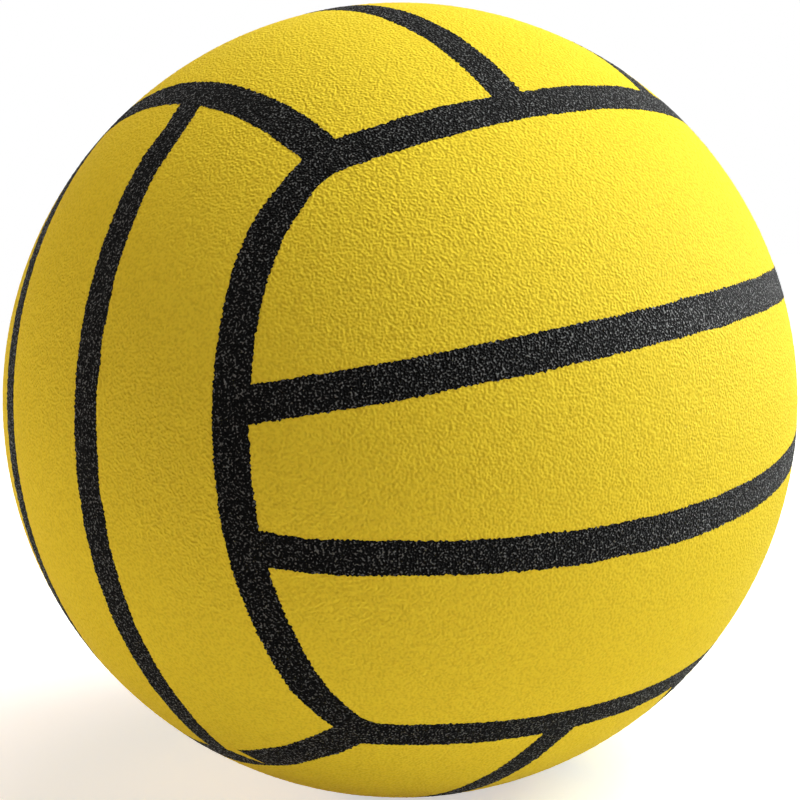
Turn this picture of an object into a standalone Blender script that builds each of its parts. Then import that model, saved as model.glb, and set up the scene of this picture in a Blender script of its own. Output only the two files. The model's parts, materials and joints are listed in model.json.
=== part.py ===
"""A soft training volleyball: a foam core in a skin of yellow panels parted by black lines.

The lines follow the traditional layout: six faces of three strips, each face turned a quarter from its
neighbours. Every line is an arc of a circle on the ball, so a panel is a patch with four round sides, and
three edge lines meet in a mitre at each of the eight corners. The origin is the ball's centre.
"""

import math

import bmesh
import bpy
import numpy as np

# Driving dimensions, in metres
BALL_DIAMETER = 0.210
RADIUS = BALL_DIAMETER / 2
SKIN_THICKNESS = 0.0012
EDGE_LINE_WIDTH = 0.0082
INNER_LINE_WIDTH = 0.0078
CLEARANCE = 0.0003

# Facets along a face and across a panel or a line
FACETS_ALONG = 14
FACETS_ACROSS_PANEL = 4
FACETS_ACROSS_LINE = 2
CORE_SUBDIVISIONS = 4

# A face's centre, the direction across its strips, the direction along them, and its two sides' names
FACES = {
    "right": ((1, 0, 0), (0, 0, 1), (0, 1, 0), ("upper", "lower")),
    "left": ((-1, 0, 0), (0, 0, 1), (0, 1, 0), ("upper", "lower")),
    "front": ((0, -1, 0), (1, 0, 0), (0, 0, 1), ("right", "left")),
    "back": ((0, 1, 0), (1, 0, 0), (0, 0, 1), ("right", "left")),
    "top": ((0, 0, 1), (0, 1, 0), (1, 0, 0), ("rear", "front")),
    "bottom": ((0, 0, -1), (0, 1, 0), (1, 0, 0), ("rear", "front")),
}

# How far a line lies from the middle of its face, in degrees of arc, at the face's first end, its middle
# and its last end. A regular face has EDGE and INNER on both sides, and the printing strays from that.
EDGE = (35.5, 40.5, 35.5)
INNER = (9.5, 13.0, 9.5)
FACE_END = 45.0
LINES = {
    "right": ((34.5, 43.0, 41.0), (7.5, 12.0, 14.5), (10.0, 12.0, 7.0), (37.0, 40.0, 38.0)),
    "left": (EDGE, INNER, INNER, EDGE),
    "front": ((34.5, 37.0, 35.0), (10.0, 15.5, 13.5), (11.0, 7.0, 11.0), (35.5, 37.5, 35.5)),
    "back": (EDGE, INNER, INNER, EDGE),
    "top": (EDGE, (10.0, 18.0, 20.0), (11.5, 11.0, 8.5), (41.0, 39.5, 32.5)),
    "bottom": (EDGE, (9.5, 14.0, 16.0), (9.0, 13.5, 8.5), (35.0, 41.5, 33.5)),
}

# Colours, with the roughness of each finish
YELLOW = (0.95, 0.70, 0.020, 1.0)
YELLOW_ROUGHNESS = 0.6
BLACK = (0.012, 0.012, 0.013, 1.0)
BLACK_ROUGHNESS = 0.55
FOAM = (0.86, 0.76, 0.42, 1.0)
FOAM_ROUGHNESS = 0.95


def unit(vector):
    return vector / np.linalg.norm(vector, axis=-1, keepdims=True)


class Line:
    """A line's circle on the ball: its axis points away from the face's middle, polar is the arc to it."""

    def __init__(self, centre, toward, along, heights, width):
        height = np.radians(heights)[:, None]
        station = np.radians([-FACE_END, 0.0, FACE_END])[:, None]
        level = np.cos(station) * centre + np.sin(station) * along
        first, middle, last = np.cos(height) * level + np.sin(height) * toward
        axis = unit(np.cross(middle - first, last - middle))
        self.axis = axis * np.sign(axis @ toward)
        self.polar = math.acos(self.axis @ middle)
        self.half_width = width / 2

    def edge(self, side, gap):
        """The circle along one edge: side 1 is the edge nearer the face's middle, -1 the other one."""
        return self.axis, self.polar + side * (self.half_width + gap) / RADIUS


def crossing(first, second, near):
    """The point where two circles on the ball cross, of the two the one on the side of near."""
    (axis_a, polar_a), (axis_b, polar_b) = first, second
    lean = axis_a @ axis_b
    normal = np.cross(axis_a, axis_b)
    reach_a = (math.cos(polar_a) - lean * math.cos(polar_b)) / (1 - lean**2)
    reach_b = (math.cos(polar_b) - lean * math.cos(polar_a)) / (1 - lean**2)
    foot = reach_a * axis_a + reach_b * axis_b
    rise = math.sqrt((1 - foot @ foot) / (normal @ normal)) * np.sign(normal @ near)
    return foot + rise * normal


def arc(circle, start, end):
    """A curve along a circle from start to end, as a function of 0 to 1."""
    axis, polar = circle
    across = unit(start - axis * (start @ axis))
    ahead = np.cross(axis, across)
    turn = math.atan2(end @ ahead, end @ across)

    def points(share):
        angle = turn * share[:, None]
        return math.cos(polar) * axis + math.sin(polar) * (np.cos(angle) * across + np.sin(angle) * ahead)

    return points


def mitre(start, tip, end):
    """A pointed end from start over the tip to end, as a function of 0 to 1."""

    def points(share):
        share = 2 * share[:, None]
        return start + np.minimum(share, 1) * (tip - start) + np.maximum(share - 1, 0) * (end - tip)

    return points


def patch(low, high, first, last):
    """The surface between two long curves and two end curves, as a function of arrays u and v."""

    def points(u, v):
        zero, one = np.zeros(1), np.ones(1)
        along = (1 - v)[:, None] * low(u) + v[:, None] * high(u)
        across = (1 - u)[:, None] * first(v) + u[:, None] * last(v)
        start = (1 - v)[:, None] * low(zero) + v[:, None] * high(zero)
        end = (1 - v)[:, None] * low(one) + v[:, None] * high(one)
        return unit(along + across - (1 - u)[:, None] * start - u[:, None] * end)

    return points


def four_sided(low, high, first, last, near_first, near_last):
    """A patch between four circles: two along the face, and one at each of its ends."""
    low_first, low_last = crossing(low, first, near_first), crossing(low, last, near_last)
    high_first, high_last = crossing(high, first, near_first), crossing(high, last, near_last)
    return patch(
        arc(low, low_first, low_last),
        arc(high, high_first, high_last),
        arc(first, low_first, high_first),
        arc(last, low_last, high_last),
    )


def drawn_back(point, axis, toward):
    """A mitre's point drawn back along its line, which opens the clearance to the next line's mitre.

    Three lines meet at about 120 degrees, so two mitre faces part by the root of three times the step.
    """
    ahead = unit(np.cross(axis, point))
    step = CLEARANCE / math.sqrt(3) / RADIUS
    return unit(point + step * np.sign(ahead @ toward) * ahead)


def material(name, colour, roughness):
    made = bpy.data.materials.new(name)
    made.use_nodes = True
    shader = made.node_tree.nodes["Principled BSDF"]
    shader.inputs["Base Color"].default_value = colour
    shader.inputs["Roughness"].default_value = roughness
    shader.inputs["Metallic"].default_value = 0.0
    return made


def add_object(name, mesh, look):
    mesh.materials.append(look)
    mesh.shade_smooth()
    made = bpy.data.objects.new(name, mesh)
    made.parent = ball_centre
    ball.objects.link(made)
    return made


def skin_piece(name, surface, across, look):
    """A piece of skin: a grid laid on the ball by its surface and thickened inwards."""
    shape = bmesh.new()
    half_side = 0.5
    bmesh.ops.create_grid(shape, x_segments=FACETS_ALONG, y_segments=across, size=half_side)
    flat = np.array([vertex.co for vertex in shape.verts]) + half_side
    for vertex, place in zip(shape.verts, surface(flat[:, 0], flat[:, 1]) * RADIUS):
        vertex.co = place
    shape.normal_update()
    shape.faces.ensure_lookup_table()
    if shape.faces[0].normal.dot(shape.faces[0].calc_center_median()) < 0:
        bmesh.ops.reverse_faces(shape, faces=shape.faces)
    lowest = min(face.calc_center_median().length for face in shape.faces)
    mesh = bpy.data.meshes.new(name)
    shape.to_mesh(mesh)
    shape.free()
    piece = add_object(name, mesh, look)
    wall = piece.modifiers.new("skin", "SOLIDIFY")
    wall.thickness = SKIN_THICKNESS
    wall.offset = -1.0
    return lowest


def add_core(lowest):
    """The foam ball, which fills the skin up to the clearance under its lowest facet."""
    shape = bmesh.new()
    radius = lowest - SKIN_THICKNESS - CLEARANCE
    bmesh.ops.create_icosphere(shape, subdivisions=CORE_SUBDIVISIONS, radius=radius)
    mesh = bpy.data.meshes.new("foam_core")
    shape.to_mesh(mesh)
    shape.free()
    add_object("foam_core", mesh, material("foam", FOAM, FOAM_ROUGHNESS))


def lay_out_lines():
    """All lines, keyed by their face's centre and the direction that they lie toward from it."""
    edges, inners = {}, {}
    for name, (centre, across, along, _) in FACES.items():
        outer_plus, inner_plus, inner_minus, outer_minus = LINES[name]
        for side, outer, inner in ((1, outer_plus, inner_plus), (-1, outer_minus, inner_minus)):
            toward = tuple(side * part for part in across)
            directions = (np.array(centre), np.array(toward), np.array(along))
            edges[centre, toward] = Line(*directions, outer, EDGE_LINE_WIDTH)
            inners[centre, toward] = Line(*directions, inner, INNER_LINE_WIDTH)
    return edges, inners


def opposite(direction):
    return tuple(-part for part in direction)


def edge_line_end(edges, centre, toward, ahead):
    """Where an edge line meets two others: the corner nearer its face's middle, the tip, the far corner."""
    near = np.array(centre) + np.array(toward) + np.array(ahead)
    own, ending, beside = edges[centre, toward], edges[ahead, centre], edges[toward, ahead]
    gap = -CLEARANCE / 2
    low = crossing(own.edge(1, gap), ending.edge(-1, gap), near)
    high = crossing(own.edge(-1, gap), beside.edge(1, gap), near)
    third = crossing(ending.edge(1, gap), beside.edge(-1, gap), near)
    corners = (low, unit(low + high + third), high)
    return [drawn_back(point, own.axis, -np.array(ahead)) for point in corners]


def add_edge_line(name, edges, centre, toward, along):
    line = edges[centre, toward]
    low_first, tip_first, high_first = edge_line_end(edges, centre, toward, opposite(along))
    low_last, tip_last, high_last = edge_line_end(edges, centre, toward, along)
    surface = patch(
        arc(line.edge(1, -CLEARANCE / 2), low_first, low_last),
        arc(line.edge(-1, -CLEARANCE / 2), high_first, high_last),
        mitre(low_first, tip_first, high_first),
        mitre(low_last, tip_last, high_last),
    )
    return skin_piece(name, surface, FACETS_ACROSS_LINE, black)


def add_face(face, edges, inners):
    """A face's three panels and four lines. Its strips end at the edge lines of the faces beside it."""
    centre, across, along, (plus, minus) = FACES[face]
    ends = []
    for ahead in (opposite(along), along):
        ends.append(edges[ahead, centre].edge(-1, CLEARANCE / 2))
    near = [np.array(centre) - np.array(along), np.array(centre) + np.array(along)]
    lowest = []
    for toward, side in ((across, plus), (opposite(across), minus)):
        outer, inner = edges[centre, toward], inners[centre, toward]
        lowest.append(add_edge_line(f"{face}_{side}_edge_line", edges, centre, toward, along))
        strip = four_sided(
            inner.edge(1, -CLEARANCE / 2), inner.edge(-1, -CLEARANCE / 2), *ends, *near
        )
        lowest.append(skin_piece(f"{face}_{side}_inner_line", strip, FACETS_ACROSS_LINE, black))
        field = four_sided(inner.edge(-1, CLEARANCE / 2), outer.edge(1, CLEARANCE / 2), *ends, *near)
        lowest.append(skin_piece(f"{face}_{side}_panel", field, FACETS_ACROSS_PANEL, yellow))
    field = four_sided(
        inners[centre, opposite(across)].edge(1, CLEARANCE / 2),
        inners[centre, across].edge(1, CLEARANCE / 2),
        *ends,
        *near,
    )
    lowest.append(skin_piece(f"{face}_middle_panel", field, FACETS_ACROSS_PANEL, yellow))
    return min(lowest)


for old in list(bpy.data.objects):
    bpy.data.objects.remove(old)
ball = bpy.data.collections.new("volleyball")
bpy.context.scene.collection.children.link(ball)
ball_centre = bpy.data.objects.new("ball_centre", None)
ball.objects.link(ball_centre)
yellow = material("yellow_skin", YELLOW, YELLOW_ROUGHNESS)
black = material("black_skin", BLACK, BLACK_ROUGHNESS)

edge_lines, inner_lines = lay_out_lines()
add_core(min(add_face(face, edge_lines, inner_lines) for face in FACES))
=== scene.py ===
"""The looks of a soft training volleyball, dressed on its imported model."""

import json
import math

import bpy
import numpy as np
from mathutils import Matrix, Vector


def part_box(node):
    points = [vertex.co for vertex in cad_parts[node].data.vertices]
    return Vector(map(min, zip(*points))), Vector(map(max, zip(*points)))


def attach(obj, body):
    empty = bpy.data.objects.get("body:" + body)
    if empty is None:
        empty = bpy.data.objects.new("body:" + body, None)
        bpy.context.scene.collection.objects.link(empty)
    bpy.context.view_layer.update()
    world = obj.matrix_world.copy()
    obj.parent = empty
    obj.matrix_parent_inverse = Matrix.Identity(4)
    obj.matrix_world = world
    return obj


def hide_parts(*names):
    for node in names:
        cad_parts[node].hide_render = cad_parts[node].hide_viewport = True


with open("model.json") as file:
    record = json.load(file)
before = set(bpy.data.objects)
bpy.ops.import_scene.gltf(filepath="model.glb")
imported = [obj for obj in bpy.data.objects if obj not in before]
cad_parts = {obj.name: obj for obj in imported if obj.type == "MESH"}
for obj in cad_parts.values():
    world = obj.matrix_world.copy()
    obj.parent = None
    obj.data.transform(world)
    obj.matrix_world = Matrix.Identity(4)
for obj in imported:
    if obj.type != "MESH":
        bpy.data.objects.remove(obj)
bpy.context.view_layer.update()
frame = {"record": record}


# Foam core
# One solid ball of soft foam, cast in a round mould. Its open pores hold the coat that becomes the skin,
# so nothing else fixes the two together.
core_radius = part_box("foam_core")[1].z
core_squares = 60
weld_digits = 6
dimple_depth = 0.00025
dimple_lengths = (0.006, 0.011)
dimple_waves = 40
dimple_seed = 1
crease_angle = math.radians(60)
pore_size = 0.0011
pore_depth = 0.0004
pore_middle = 0.0
pore_rim = 0.6
foam_pale = (0.86, 0.76, 0.42, 1.0)
foam_deep = (0.60, 0.48, 0.20, 1.0)
foam_roughness = 0.95
foam_specular = 0.2


def unit(vectors):
    """Each vector divided by its length."""
    return vectors / np.linalg.norm(vectors, axis=-1, keepdims=True)


def ripples(places, lengths, waves, seed):
    """A random height at each place, with a spread of 1: the sum of plane waves that run in random
    directions, their lengths drawn evenly between the two given."""
    draw = np.random.default_rng(seed)
    heading = unit(draw.normal(size=(waves, 3)))
    length = draw.uniform(*lengths, waves)
    phase = draw.uniform(0, 2 * math.pi, waves)
    turns = places @ (heading * (2 * math.pi / length)[:, None]).T
    return np.cos(turns + phase).sum(-1) * math.sqrt(2 / waves)


def grid_squares(index):
    """The squares between the points of a grid, each as the indices of its four corners in turn."""
    corners = [index[:-1, :-1], index[1:, :-1], index[1:, 1:], index[:-1, 1:]]
    return np.stack(corners, -1).reshape(-1, 4)


def cast_ball(squares):
    """Directions and squares of a ball: six square grids on a cube, where a parameter from -1 to 1
    stands for the tangent of that share of 45 degrees, pushed out to the ball and welded along the
    cube's edges."""
    side = np.tan(np.linspace(-1, 1, squares + 1) * math.pi / 4)
    a, b = np.meshgrid(side, side, indexing="ij")
    square = grid_squares(np.arange(a.size).reshape(a.shape))
    sides = []
    for turn in range(3):
        first, second, third = np.roll(np.eye(3), turn, axis=0)
        flat = a[..., None] * first + b[..., None] * second
        sides += [flat + third, flat[::-1] - third]
    directions = unit(np.concatenate(sides).reshape(-1, 3))
    all_squares = np.concatenate([square + a.size * turn for turn in range(len(sides))])
    places = directions.round(weld_digits)
    _, kept, weld = np.unique(places, axis=0, return_index=True, return_inverse=True)
    return directions[kept], weld.ravel()[all_squares]


def add_piece(name, points, squares, triangles, finish, slot, *nodes):
    """A piece from its points and faces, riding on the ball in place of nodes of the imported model."""
    mesh = bpy.data.meshes.new(name)
    corners = np.concatenate([squares.ravel(), triangles.ravel()]).astype(np.int32)
    sizes = np.repeat([4, 3], [len(squares), len(triangles)])
    mesh.vertices.add(len(points))
    mesh.loops.add(len(corners))
    mesh.polygons.add(len(sizes))
    mesh.vertices.foreach_set("co", points.astype(np.float32).ravel())
    mesh.loops.foreach_set("vertex_index", corners)
    mesh.polygons.foreach_set("loop_start", (np.cumsum(sizes) - sizes).astype(np.int32))
    mesh.update(calc_edges=True)
    mesh.shade_smooth()
    mesh.set_sharp_from_angle(angle=crease_angle)
    mesh.materials.append(finish)
    piece = bpy.data.objects.new(name, mesh)
    bpy.context.scene.collection.objects.link(piece)
    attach(piece, "root")
    if nodes:
        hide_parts(*nodes)
    return piece


def new_finish(name, roughness, specular):
    """A material, its node tree, its shader and the Object coordinates that its patterns read."""
    finish = bpy.data.materials.new(name)
    finish.use_nodes = True
    tree = finish.node_tree
    shader = tree.nodes["Principled BSDF"]
    shader.inputs["Roughness"].default_value = roughness
    shader.inputs["Specular IOR Level"].default_value = specular
    return finish, tree, shader, tree.nodes.new("ShaderNodeTexCoord").outputs["Object"]


def add_node(tree, kind, sockets, **settings):
    """A node of that kind. Sockets gives its inputs values, or other nodes' outputs to link."""
    node = tree.nodes.new(kind)
    for name, value in settings.items():
        setattr(node, name, value)
    for name, value in sockets.items():
        if isinstance(value, bpy.types.NodeSocket):
            tree.links.new(value, node.inputs[name])
        else:
            node.inputs[name].default_value = value
    return node


def shades(tree, value, *stops):
    """The colour of a value between stops, each a place from 0 to 1 and a colour."""
    ramp = add_node(tree, "ShaderNodeValToRGB", {"Fac": value})
    for _ in stops[2:]:
        ramp.color_ramp.elements.new(1.0)
    for element, (place, colour) in zip(ramp.color_ramp.elements, stops):
        element.position = place
        element.color = colour
    return ramp.outputs["Color"]


def foam_finish():
    """Pale foam with round pores on Voronoi cells, deeper in colour and sunk by the bump."""
    finish, tree, shader, place = new_finish("foam", foam_roughness, foam_specular)
    cells = add_node(tree, "ShaderNodeTexVoronoi", {"Vector": place, "Scale": 1 / pore_size})
    depth = cells.outputs["Distance"]
    colour = shades(tree, depth, (pore_middle, foam_deep), (pore_rim, foam_pale))
    bump = add_node(tree, "ShaderNodeBump", {"Height": depth, "Distance": pore_depth})
    tree.links.new(colour, shader.inputs["Base Color"])
    tree.links.new(bump.outputs["Normal"], shader.inputs["Normal"])
    return finish


core_directions, core_faces = cast_ball(core_squares)
core_places = core_directions * core_radius
dimples = np.maximum(ripples(core_places, dimple_lengths, dimple_waves, dimple_seed), 0)
core_points = core_directions * (core_radius - dimple_depth * dimples)[:, None]
core_finish = foam_finish()
no_triangles = np.zeros((0, 3), int)
core = add_piece(
    "foam_core_cast", core_points, core_faces, no_triangles, core_finish, "foam", "foam_core"
)


# Yellow skin panels
# The coat on the foam: a soft matte yellow skin with a fine worm-like grain, sprayed or dipped on in
# one. The black lines part it into eighteen panels, three on each of six faces, and it runs on under them.
radius = -frame["record"]["mounts"][0]["pos_m"][2]
skin_thickness = 0.0012
edge_line_width = 0.0082
inner_line_width = 0.0078
under_ink = 0.0007
ink_bed_depth = 0.00012
panel_spacing = 0.00049
underside_rings = np.array([1.0, 0.9, 0.65, 0.35])
length_steps = np.linspace(0, 1, 33)
half_way = np.full_like(length_steps, 0.5)
grain_height = 0.000030
grain_lengths = (0.0012, 0.0020)
grain_waves = 48
grain_seed = 2

# A face's centre, the direction across its strips, the direction along them, and its two sides' names
faces = {
    "right": ((1, 0, 0), (0, 0, 1), (0, 1, 0), ("upper", "lower")),
    "left": ((-1, 0, 0), (0, 0, 1), (0, 1, 0), ("upper", "lower")),
    "front": ((0, -1, 0), (1, 0, 0), (0, 0, 1), ("right", "left")),
    "back": ((0, 1, 0), (1, 0, 0), (0, 0, 1), ("right", "left")),
    "top": ((0, 0, 1), (0, 1, 0), (1, 0, 0), ("rear", "front")),
    "bottom": ((0, 0, -1), (0, 1, 0), (1, 0, 0), ("rear", "front")),
}
# How far a line lies from the middle of its face, in degrees of arc, at the face's first end, its
# middle and its last end: the edge and inner line of one side, then the inner and edge line of the other
face_end = 45.0
plain_edge = (35.5, 40.5, 35.5)
plain_inner = (9.5, 13.0, 9.5)
line_heights = {
    "right": ((34.5, 43.0, 41.0), (7.5, 12.0, 14.5), (10.0, 12.0, 7.0), (37.0, 40.0, 38.0)),
    "left": (plain_edge, plain_inner, plain_inner, plain_edge),
    "front": ((34.5, 37.0, 35.0), (10.0, 15.5, 13.5), (11.0, 7.0, 11.0), (35.5, 37.5, 35.5)),
    "back": (plain_edge, plain_inner, plain_inner, plain_edge),
    "top": (plain_edge, (10.0, 18.0, 20.0), (11.5, 11.0, 8.5), (41.0, 39.5, 32.5)),
    "bottom": (plain_edge, (9.5, 14.0, 16.0), (9.0, 13.5, 8.5), (35.0, 41.5, 33.5)),
}
# The printing bends some lines near an end of their face: how far toward the line's side, and over
# what length, at the face's first end and at its last
no_bend = (0.0, 1.0)
edge_bends = {("front", "right"): ((0.0027, 0.017), (0.0047, 0.023))}
inner_bends = {
    ("front", "right"): ((-0.0015, 0.018), (0.0020, 0.016)),
    ("right", "lower"): ((0.0007, 0.020), no_bend),
}
bend_power = 1.5
settling_rounds = 8
# Whether a piece lies beyond a circle, seen from the circle's axis, or within it
beyond, within = 1, -1


def on_face(centre, toward, along, stations, heights):
    """Directions on a face: a station turns from its centre along its strips, and a height rises
    toward a side."""
    station = np.radians(stations)[..., None]
    height = np.radians(heights)[..., None]
    level = np.cos(station) * np.array(centre) + np.sin(station) * np.array(along)
    return np.cos(height) * level + np.sin(height) * np.array(toward)


def line_circle(centre, toward, along, heights, bends):
    """A line's circle through its three heights: the axis, toward its side, the arc from axis to
    line, and its bends, each a place, a shift and a length."""
    stations = np.array([-face_end, 0.0, face_end])
    first, middle, last = on_face(centre, toward, along, stations, np.array(heights))
    axis = unit(np.cross(middle - first, last - middle))
    axis = axis * np.sign(axis @ np.array(toward))
    places = [(place, *bend) for place, bend in zip((first, last), bends)]
    return axis, math.acos(axis @ middle), places


def beside(circle, shift):
    """The circle that runs a little farther from the axis, by a shift along the ball."""
    axis, polar, bends = circle
    return axis, polar + shift / radius, bends


def arc_from_axis(circle, directions):
    """The arc from a circle's axis to the line beside each direction. A bend shortens it by its
    shift, times a power of the share of the bend's length that is left between its place and the
    direction."""
    _, polar, bends = circle
    for place, shift, length in bends:
        left = np.clip(1 - radius * np.linalg.norm(directions - place, axis=-1) / length, 0, 1)
        polar = polar - shift / radius * left**bend_power
    return polar


def opposite(direction):
    """The direction turned round."""
    return tuple(-part for part in direction)


def crossing(first, second, near):
    """Where two lines' circles cross: of the two points, the one on the side of near. A bend changes
    an arc with the place, so the crossing is found again from the last one until it settles."""
    axis_a, axis_b = first[0], second[0]
    lean = axis_a @ axis_b
    normal = np.cross(axis_a, axis_b)
    point = unit(near)
    for _ in range(settling_rounds):
        level_a = np.cos(arc_from_axis(first, point))
        level_b = np.cos(arc_from_axis(second, point))
        foot = (level_a - lean * level_b) * axis_a + (level_b - lean * level_a) * axis_b
        foot = foot / (1 - lean**2)
        rise = math.sqrt((1 - foot @ foot) / (normal @ normal)) * np.sign(normal @ near)
        point = foot + rise * normal
    return point


def arc(circle, start, end):
    """A curve from start to end along a circle: its share from 0 to 1 turns it about the axis, and
    the arc from the axis settles where the circle bends."""
    axis = circle[0]
    across = unit(start - axis * (start @ axis))
    ahead = np.cross(axis, across)
    turn = math.atan2(end @ ahead, end @ across)

    def curve(share):
        angle = turn * share[..., None]
        level = np.cos(angle) * across + np.sin(angle) * ahead
        point = level
        for _ in range(settling_rounds):
            polar = np.broadcast_to(arc_from_axis(circle, point), share.shape)[..., None]
            point = np.cos(polar) * axis + np.sin(polar) * level
        return point

    return curve


def patch(low, high, first, last):
    """The surface between two long curves and two end curves: the blend across plus the blend along,
    less the blend of the four corners, brought back to the ball."""

    def surface(u, v):
        zero, one = np.zeros(1), np.ones(1)
        u_part, v_part = u[..., None], v[..., None]
        along = (1 - v_part) * low(u) + v_part * high(u)
        across = (1 - u_part) * first(v) + u_part * last(v)
        start = (1 - v_part) * low(zero) + v_part * high(zero)
        end = (1 - v_part) * low(one) + v_part * high(one)
        return unit(along + across - (1 - u_part) * start - u_part * end)

    return surface


def four_sided(low, high, first, last, near_first, near_last):
    """A patch between four circles: two along a face and one at each of its ends."""
    low_first, low_last = crossing(low, first, near_first), crossing(low, last, near_last)
    high_first, high_last = crossing(high, first, near_first), crossing(high, last, near_last)
    return patch(
        arc(low, low_first, low_last),
        arc(high, high_first, high_last),
        arc(first, low_first, high_first),
        arc(last, low_last, high_last),
    )


def grain(directions):
    """The skin's fine unevenness, as a height over the round ball."""
    return grain_height * ripples(directions * radius, grain_lengths, grain_waves, grain_seed)


def curve_length(points):
    """The length on the ball of a curve of directions."""
    return radius * np.linalg.norm(np.diff(points, axis=0), axis=-1).sum()


def past_edges(directions, bounds):
    """How far each direction lies past the nearest of some circles, as a share from 0 to 1 of the
    strip that runs on under the ink. Each circle has its sign: beyond or within."""
    inside = np.inf
    for circle, sign in bounds:
        to_direction = np.arccos(np.clip(directions @ circle[0], -1, 1))
        past_line = to_direction - arc_from_axis(circle, directions)
        inside = np.minimum(inside, sign * past_line * radius)
    return np.clip(-inside / under_ink, 0, 1)


def add_skin(name, surface, height, along, across, finish, slot, *nodes):
    """A closed piece of skin over a patch. Its outer side is an even grid at the ball's radius plus a
    height, and its underside is rings that copy the border and shrink toward the patch's middle, one
    skin lower."""
    u, v = np.meshgrid(np.linspace(0, 1, along + 1), np.linspace(0, 1, across + 1), indexing="ij")
    top = surface(u, v)
    top = top * (radius + height(top))[..., None]
    index = np.arange(u.size).reshape(u.shape)
    border = np.concatenate([index[:-1, 0], index[-1, :-1], index[:0:-1, -1], index[0, :0:-1]])
    middle = np.full(1, 0.5)
    ring_u = middle + underside_rings[:, None] * (u.ravel()[border] - middle)
    ring_v = middle + underside_rings[:, None] * (v.ravel()[border] - middle)
    under_radius = radius - skin_thickness
    under = surface(ring_u, ring_v).reshape(-1, 3) * under_radius
    points = np.concatenate([top.reshape(-1, 3), under, surface(middle, middle) * under_radius])
    rings = np.concatenate([border[None], u.size + np.arange(ring_u.size).reshape(ring_u.shape)])
    ahead = np.roll(rings, -1, axis=1)
    walls = np.stack([rings[1:], ahead[1:], ahead[:-1], rings[:-1]], -1).reshape(-1, 4)
    squares = np.concatenate([grid_squares(index), walls])
    triangles = np.stack([rings[-1], np.full(len(border), len(points) - 1), ahead[-1]], -1)
    if np.cross(top[1, 0] - top[0, 0], top[0, 1] - top[0, 0]) @ top[0, 0] < 0:
        squares, triangles = squares[:, ::-1], triangles[:, ::-1]
    add_piece(name, points, squares, triangles, finish, slot, *nodes)


grain_detail = 0.0
yellow_grain_size = 0.00060
yellow_grain_depth = 0.00037
yellow_specular = 0.003
# Pits, slopes and crests are places on the grain from 0 to 1, each with its roughness or its colour
yellow_roughness = ((0.30, 0.55), (0.70, 0.45))
# The pit's darker, more orange yellow is painted shade in the grain's hollows
yellow_pit_painted_shade = (0.30, (0.79, 0.566, 0.034, 1.0))
yellow_slope = (0.50, (0.87, 0.634, 0.040, 1.0))
yellow_crest = (0.70, (0.895, 0.658, 0.043, 1.0))


def skin_finish(name, grain_size, grain_depth, specular, roughness, *stops):
    """A grainy skin: noise is the height of its fine worms and pits, which sets the colour between
    stops, lifts the bump and smooths the skin from the pits' roughness to the crests'. Darker pits are
    painted shade, and the black ink's grey crests are painted glints."""
    (pit, pit_roughness), (crest, crest_roughness) = roughness
    finish, tree, shader, place = new_finish(name, pit_roughness, specular)
    sockets = {"Vector": place, "Scale": 1 / grain_size, "Detail": grain_detail}
    worms = add_node(tree, "ShaderNodeTexNoise", sockets).outputs["Fac"]
    bump = add_node(tree, "ShaderNodeBump", {"Height": worms, "Distance": grain_depth})
    tree.links.new(shades(tree, worms, *stops), shader.inputs["Base Color"])
    tree.links.new(bump.outputs["Normal"], shader.inputs["Normal"])
    span = {
        "Value": worms,
        "From Min": pit,
        "From Max": crest,
        "To Min": pit_roughness,
        "To Max": crest_roughness,
    }
    smoothing = add_node(tree, "ShaderNodeMapRange", span)
    tree.links.new(smoothing.outputs["Result"], shader.inputs["Roughness"])
    return finish


yellow_finish = skin_finish(
    "yellow_skin",
    yellow_grain_size,
    yellow_grain_depth,
    yellow_specular,
    yellow_roughness,
    yellow_pit_painted_shade,
    yellow_slope,
    yellow_crest,
)

edges, inners = {}, {}
for face, (centre, across, along, side_names) in faces.items():
    edge_plus, inner_plus, inner_minus, edge_minus = line_heights[face]
    sides = (across, edge_plus, inner_plus), (opposite(across), edge_minus, inner_minus)
    for side, (toward, edge, inner) in zip(side_names, sides):
        edge_bend = edge_bends.get((face, side), (no_bend, no_bend))
        inner_bend = inner_bends.get((face, side), (no_bend, no_bend))
        edges[centre, toward] = line_circle(centre, toward, along, edge, edge_bend)
        inners[centre, toward] = line_circle(centre, toward, along, inner, inner_bend)


def panel_height(bounds):
    """Heights of a panel: the grain, less a bed that sinks smoothly where the panel runs on under the
    ink."""

    def height(directions):
        past = past_edges(directions, bounds)
        return grain(directions) - ink_bed_depth * past * past * (3 - 2 * past)

    return height


def add_panel(node, low, low_sign, high, high_sign, ends, near):
    """A panel between two lines' edges and the two edge lines at its ends, run on under the ink all
    round. Each line has its sign: beyond or within."""
    bounds = [(low, low_sign), (high, high_sign)]
    bounds += [(end, within) for end in ends]
    surface = four_sided(*[beside(circle, -sign * under_ink) for circle, sign in bounds], *near)
    along = math.ceil(curve_length(surface(length_steps, half_way)) / panel_spacing)
    across = math.ceil(curve_length(surface(half_way, length_steps)) / panel_spacing)
    height = panel_height(bounds)
    add_skin(node + "_skin", surface, height, along, across, yellow_finish, "yellow_skin", node)


def face_ends(centre, along):
    """Where a face's strips end, at its first and its last end: the near edges of the edge lines that
    run across there, and a direction beside each."""
    ends = [beside(edges[ahead, centre], -edge_line_width / 2) for ahead in (opposite(along), along)]
    near = [np.array(centre) - np.array(along), np.array(centre) + np.array(along)]
    return ends, near


for face, (centre, across, along, side_names) in faces.items():
    ends, near = face_ends(centre, along)
    sides = (across, opposite(across))
    for toward, side in zip(sides, side_names):
        inner = beside(inners[centre, toward], -inner_line_width / 2)
        edge = beside(edges[centre, toward], edge_line_width / 2)
        add_panel(f"{face}_{side}_panel", inner, within, edge, beyond, ends, near)
    first, second = [beside(inners[centre, toward], inner_line_width / 2) for toward in sides]
    add_panel(f"{face}_middle_panel", second, beyond, first, beyond, ends, near)


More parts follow.
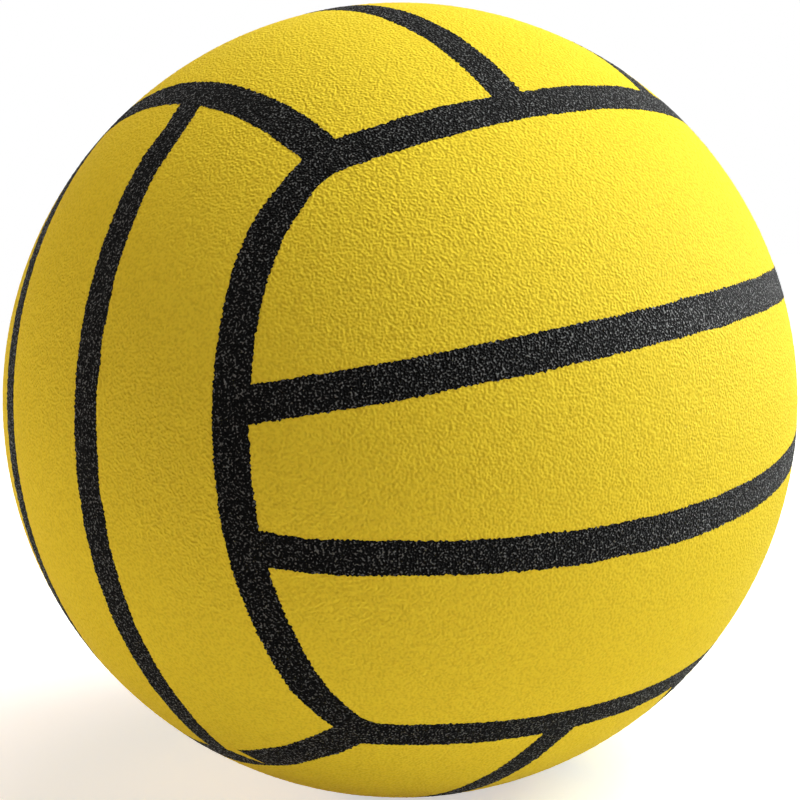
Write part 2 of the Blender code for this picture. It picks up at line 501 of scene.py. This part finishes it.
# Black edge lines
# Wide lines of flexible black ink, printed over the skin along both sides of each face. The ink fills
# the grain, so its edges are ragged, and three lines run together in a mitre at each of eight corners.
line_spacing = 0.00028
edge_line_squares = 20
ink_height = 0.00005
ragged_reach = 0.00014
ragged_lengths = (0.0006, 0.0010)
ragged_waves = 40
ragged_seed = 3
wander_reach = 0.00010
wander_lengths = (0.008, 0.020)
wander_waves = 12
wander_seed = 4
edge_power = 5
calm_end = 0.0012

black_grain_size = 0.00046
black_grain_depth = 0.00080
black_specular = 0.03
black_roughness = ((0.50, 0.8), (0.70, 0.3))
black_pit = (0.48, (0.001, 0.001, 0.001, 1.0))
black_slope = (0.60, (0.005, 0.005, 0.005, 1.0))
# The crest's grey specks are painted glints: light caught on the crests of the ink's grain
black_crest_painted_glint = (0.75, (0.120, 0.120, 0.120, 1.0))
black_finish = skin_finish(
    "black_ink",
    black_grain_size,
    black_grain_depth,
    black_specular,
    black_roughness,
    black_pit,
    black_slope,
    black_crest_painted_glint,
)


def ink_surface(surface, axis, length):
    """A line's patch with ragged long edges: points near an edge move across the line by random ripples,
    which die away toward the line's middle and its ends."""

    def ragged(u, v):
        plain = surface(u, v)
        toward_axis = unit(axis - (plain @ axis)[..., None] * plain)
        places = plain * radius
        shift = ragged_reach * ripples(places, ragged_lengths, ragged_waves, ragged_seed)
        shift = shift + wander_reach * ripples(places, wander_lengths, wander_waves, wander_seed)
        from_end = np.minimum(u, 1 - u) * length
        weight = np.abs(2 * v - 1) ** edge_power * np.clip(from_end / calm_end, 0, 1)
        return unit(plain + toward_axis * (shift * weight / radius)[..., None])

    return ragged


def ink_top(directions):
    """Heights of the ink: the grain of the skin under it and the film's own thickness."""
    return grain(directions) + ink_height


def mitre(start, tip, end):
    """A pointed end: straight from start to the tip for the first half, then from the tip to the end."""

    def curve(share):
        share = 2 * share[..., None]
        to_tip, to_end = np.minimum(share, 1), np.maximum(share - 1, 0)
        return unit(start + to_tip * (tip - start) + to_end * (end - tip))

    return curve


def corner_points(centre, toward, ahead):
    """Where an edge line meets two others: the corner nearer its face's middle, the tip, and the far
    corner."""
    near = np.array(centre) + np.array(toward) + np.array(ahead)
    own, ending, next_to = edges[centre, toward], edges[ahead, centre], edges[toward, ahead]
    half = edge_line_width / 2
    low = crossing(beside(own, half), beside(ending, -half), near)
    high = crossing(beside(own, -half), beside(next_to, half), near)
    third = crossing(beside(ending, half), beside(next_to, -half), near)
    return low, unit(low + high + third), high


def add_line(node, surface, axis, height, squares):
    """A line's ink over its patch, with squares of the line spacing along it."""
    length = curve_length(surface(length_steps, half_way))
    inked = ink_surface(surface, axis, length)
    along = math.ceil(length / line_spacing)
    add_skin(node + "_ink", inked, height, along, squares, black_finish, "black_skin", node)


for face, (centre, across, along, side_names) in faces.items():
    for toward, side in zip((across, opposite(across)), side_names):
        line = edges[centre, toward]
        low_first, tip_first, high_first = corner_points(centre, toward, opposite(along))
        low_last, tip_last, high_last = corner_points(centre, toward, along)
        surface = patch(
            arc(beside(line, edge_line_width / 2), low_first, low_last),
            arc(beside(line, -edge_line_width / 2), high_first, high_last),
            mitre(low_first, tip_first, high_first),
            mitre(low_last, tip_last, high_last),
        )
        add_line(f"{face}_{side}_edge_line", surface, line[0], ink_top, edge_line_squares)


# Ink in two corners
# The edge lines' ink ran together at the right face's two front corners and rounded them off: a small
# fill of the same black ink in each, which starts a little under the lines beside it.
fill_reaches = {"upper": 0.0072, "lower": 0.0065}
fill_overlap = 0.0003
fill_drop = 0.00002
fill_squares = 28


def fill_top(directions):
    """Heights of a corner's fill: a little under the ink of the lines that it joins."""
    return ink_top(directions) - fill_drop


def part_of(curve, start, end):
    """The part of a curve between two of its shares."""

    def part(share):
        return curve(start + share * (end - start))

    return part


def rounded_corner(centre, toward, ahead, reach):
    """The patch between a corner of a face's edge lines and a round from one line to the other: a
    curve pulled to the corner, from a place on one line to one on the other, each a reach away."""
    inset = edge_line_width / 2 - fill_overlap
    own, ending = beside(edges[centre, toward], inset), beside(edges[ahead, centre], -inset)
    far_end = beside(edges[opposite(ahead), centre], -inset)
    far_side = beside(edges[centre, opposite(toward)], inset)
    middle, to_side, to_end = np.array(centre), np.array(toward), np.array(ahead)
    corner = crossing(own, ending, middle + to_end + to_side)
    along = arc(own, corner, crossing(own, far_end, middle + to_side - to_end))
    across = arc(ending, corner, crossing(ending, far_side, middle + to_end - to_side))
    along_share = reach / curve_length(along(length_steps))
    across_share = reach / curve_length(across(length_steps))
    start, end = along(np.array(along_share)), across(np.array(across_share))

    def bow(share):
        share = share[..., None]
        return unit((1 - share) ** 2 * start + 2 * share * (1 - share) * corner + share**2 * end)

    return patch(
        part_of(along, 0, along_share),
        part_of(bow, 1, 0.5),
        part_of(across, 0, across_share),
        part_of(bow, 0, 0.5),
    )


right_centre, right_across, right_along, right_sides = faces["right"]
for toward, side in zip((right_across, opposite(right_across)), right_sides):
    fill = rounded_corner(right_centre, toward, opposite(right_along), fill_reaches[side])
    fill_name = f"right_{side}_corner_ink"
    add_skin(fill_name, fill, fill_top, fill_squares, fill_squares, black_finish, "black_skin")


# Black inner lines
# The two narrower lines between a face's three strips, in the same ink. Each ends against the edge lines
# of the faces beside its own, a little under their ink.
inner_line_squares = 18


def inner_height(ends):
    """Heights of an inner line: the ink's, less a bed where its ends run on under the edge lines' ink."""
    bounds = [(end, within) for end in ends]

    def height(directions):
        return ink_top(directions) - ink_bed_depth * past_edges(directions, bounds)

    return height


for face, (centre, across, along, side_names) in faces.items():
    ends, near = face_ends(centre, along)
    run_on = [beside(end, under_ink) for end in ends]
    half = inner_line_width / 2
    for toward, side in zip((across, opposite(across)), side_names):
        line = inners[centre, toward]
        surface = four_sided(beside(line, half), beside(line, -half), *run_on, *near)
        add_line(f"{face}_{side}_inner_line", surface, line[0], inner_height(ends), inner_line_squares)


# Gap in the print
# A sliver of bare yellow skin at the foot of the front face's right panel, where the bottom's front
# edge line was printed short of the panel's corner: a tongue of the skin that tapers across the line.
gap_width = 0.0050
gap_length = 0.0082
gap_across = 0.85
gap_tip = 0.0002
gap_overlap = 0.0006
gap_height = 0.00003
gap_squares = (48, 10)


def straight(start, end):
    """The shortest curve on the ball from start to end."""

    def curve(share):
        return unit(start + share[..., None] * (end - start))

    return curve


def gap_top(directions):
    """Heights of the sliver: a little over the ink that it parts."""
    return ink_top(directions) + gap_height


front, right, bottom = (0, -1, 0), (1, 0, 0), (0, 0, -1)
gap_line = edges[bottom, front]
panel_side = beside(inners[front, right], -inner_line_width / 2)
far_side = beside(edges[front, right], edge_line_width / 2)
near_foot = np.array(front) + np.array(bottom)


def along_gap_line(shift, places):
    """Points on a circle beside the line, at some lengths from the panel's corner."""
    circle = beside(gap_line, shift)
    start = crossing(circle, panel_side, near_foot)
    whole = arc(circle, start, crossing(circle, far_side, near_foot + np.array(right)))
    return whole(np.array(places) / curve_length(whole(length_steps)))


base_left, base_right = along_gap_line(-edge_line_width / 2 - gap_overlap, (0.0, gap_width))
tip_shift = (gap_across - 0.5) * edge_line_width
tip_left, tip_right = along_gap_line(tip_shift, (gap_length, gap_length + gap_tip))
gap_surface = patch(
    straight(base_left, tip_left),
    straight(base_right, tip_right),
    straight(base_left, base_right),
    straight(tip_left, tip_right),
)
add_skin("front_right_panel_sliver", gap_surface, gap_top, *gap_squares, yellow_finish, "yellow_skin")


# Floor, light and camera
# A wide pale floor under the ball, soft lamps round it and a camera at the photograph's angle, whose
# square picture the ball just fills.
camera_azimuth = 56.4
camera_elevation = 6.5
camera_roll = 4.3
camera_distance = 3.5 * radius
film_width = 36.0
picture_half = 400.0
ball_half = 397.4

azimuth, elevation, roll = np.radians([camera_azimuth, camera_elevation, camera_roll])
level_right = np.array([math.cos(azimuth), math.sin(azimuth), 0.0])
level_back = np.array([math.sin(azimuth), -math.cos(azimuth), 0.0])
back = math.cos(elevation) * level_back + math.sin(elevation) * np.array([0.0, 0.0, 1.0])
level_up = np.cross(back, level_right)
camera_right = math.cos(roll) * level_right - math.sin(roll) * level_up
camera_up = math.cos(roll) * level_up + math.sin(roll) * level_right

scene = bpy.context.scene
camera_data = bpy.data.cameras.new("camera")
half_view = math.tan(math.asin(radius / camera_distance)) * picture_half / ball_half
camera_data.sensor_width = film_width
camera_data.lens = film_width / 2 / half_view
camera = bpy.data.objects.new("camera", camera_data)
camera_axes = np.stack([camera_right, camera_up, back], -1)
camera.matrix_world = Matrix.Translation(back * camera_distance) @ Matrix(camera_axes).to_4x4()
scene.collection.objects.link(camera)
scene.camera = camera
scene.view_settings.view_transform = "Standard"

key_light = (0.80, 1.0, 1.0)
side_light = (1.0, 0.90, 0.78)
top_light = (1.0, 0.76, 0.62)
front_light = (1.0, 0.40, 0.25)
white_light = (1.0, 1.0, 1.0)


def add_lamp(name, side, strength, size, colour, distance=1.0):
    """A soft square lamp. Side is where it stands: to the right, up and toward the camera, seen from
    the ball. Strength is the brightness that it alone gives to a white surface that faces it."""
    data = bpy.data.lights.new(name, "AREA")
    data.energy = strength * (math.pi * distance) ** 2
    data.size = size
    data.color = colour
    lamp = bpy.data.objects.new(name, data)
    direction = unit(side[0] * camera_right + side[1] * camera_up + side[2] * back)
    lamp.location = direction * distance
    lamp.rotation_euler = Vector(direction).to_track_quat("Z", "Y").to_euler()
    lamp.visible_camera = False
    scene.collection.objects.link(lamp)
    return lamp


add_lamp("key_lamp", side=(0.60, 0.70, 0.20), strength=1.25, size=0.8, colour=key_light)
add_lamp("top_lamp", side=(0.28, 0.95, 0.05), strength=0.56, size=0.8, colour=top_light)
add_lamp("left_lamp", side=(-0.95, 0.10, -0.15), strength=0.27, size=0.6, colour=side_light)
add_lamp(
    "near_left_lamp", side=(-0.95, 0.00, 0.10), strength=0.20, size=0.3, colour=side_light, distance=0.5
)
add_lamp("front_lamp", side=(0.50, 0.10, 0.85), strength=0.10, size=0.6, colour=front_light)
# A wide bright lamp at the right, seen only in the gloss of skin and ink: it lights no matt surface
gloss_lamp = add_lamp(
    "gloss_lamp", side=(0.92, 0.08, 0.10), strength=20.0, size=1.4, colour=white_light
)
gloss_lamp.visible_diffuse = False


def seen_rays(tree):
    """1 for rays from the camera, or from a mirror or glass, and 0 for those that carry light."""
    rays = tree.nodes.new("ShaderNodeLightPath").outputs
    seen = rays["Is Camera Ray"]
    for kind in ("Is Glossy Ray", "Is Transmission Ray"):
        seen = add_node(tree, "ShaderNodeMath", {0: seen, 1: rays[kind]}, operation="ADD").outputs[0]
    return seen


white = (1.0, 1.0, 1.0, 1.0)
room_light = 0.03
seen_light = 1.0
world = bpy.data.worlds.new("room")
scene.world = world
world.use_nodes = True
world_tree = world.node_tree
level_span = {"Value": seen_rays(world_tree), "To Min": room_light, "To Max": seen_light}
level = add_node(world_tree, "ShaderNodeMapRange", level_span)
background = world_tree.nodes["Background"]
background.inputs["Color"].default_value = white
world_tree.links.new(level.outputs["Result"], background.inputs["Strength"])

floor_half = 4.0
floor_squares = 8
floor_pale = (0.92, 0.90, 0.87, 1.0)
floor_roughness = 0.9
floor_specular = 0.0
glow_near = 0.55
glow_far = 1.0
near_reach = 0.15
far_reach = 0.90
floor_side = np.linspace(-floor_half, floor_half, floor_squares + 1)
floor_x, floor_y = np.meshgrid(floor_side, floor_side, indexing="ij")
floor_points = np.stack([floor_x, floor_y, np.full_like(floor_x, -radius)], -1).reshape(-1, 3)
floor_faces = grid_squares(np.arange(floor_x.size).reshape(floor_x.shape))
floor_mesh = bpy.data.meshes.new("floor")
floor_mesh.from_pydata(floor_points.tolist(), [], floor_faces.tolist())
floor_finish, floor_tree, floor_shader, floor_place = new_finish(
    "pale_floor", floor_roughness, floor_specular
)
floor_shader.inputs["Base Color"].default_value = floor_pale
floor_shader.inputs["Emission Color"].default_value = white
from_ball = add_node(floor_tree, "ShaderNodeVectorMath", {0: floor_place}, operation="LENGTH")
glow_span = {
    "Value": from_ball.outputs["Value"],
    "From Min": near_reach,
    "From Max": far_reach,
    "To Min": glow_near,
    "To Max": glow_far,
}
floor_glow = add_node(floor_tree, "ShaderNodeMapRange", glow_span).outputs["Result"]
seen_glow = {0: floor_glow, 1: seen_rays(floor_tree)}
glow = add_node(floor_tree, "ShaderNodeMath", seen_glow, operation="MULTIPLY")
floor_tree.links.new(glow.outputs[0], floor_shader.inputs["Emission Strength"])
floor_mesh.materials.append(floor_finish)
floor = bpy.data.objects.new("floor", floor_mesh)
scene.collection.objects.link(floor)
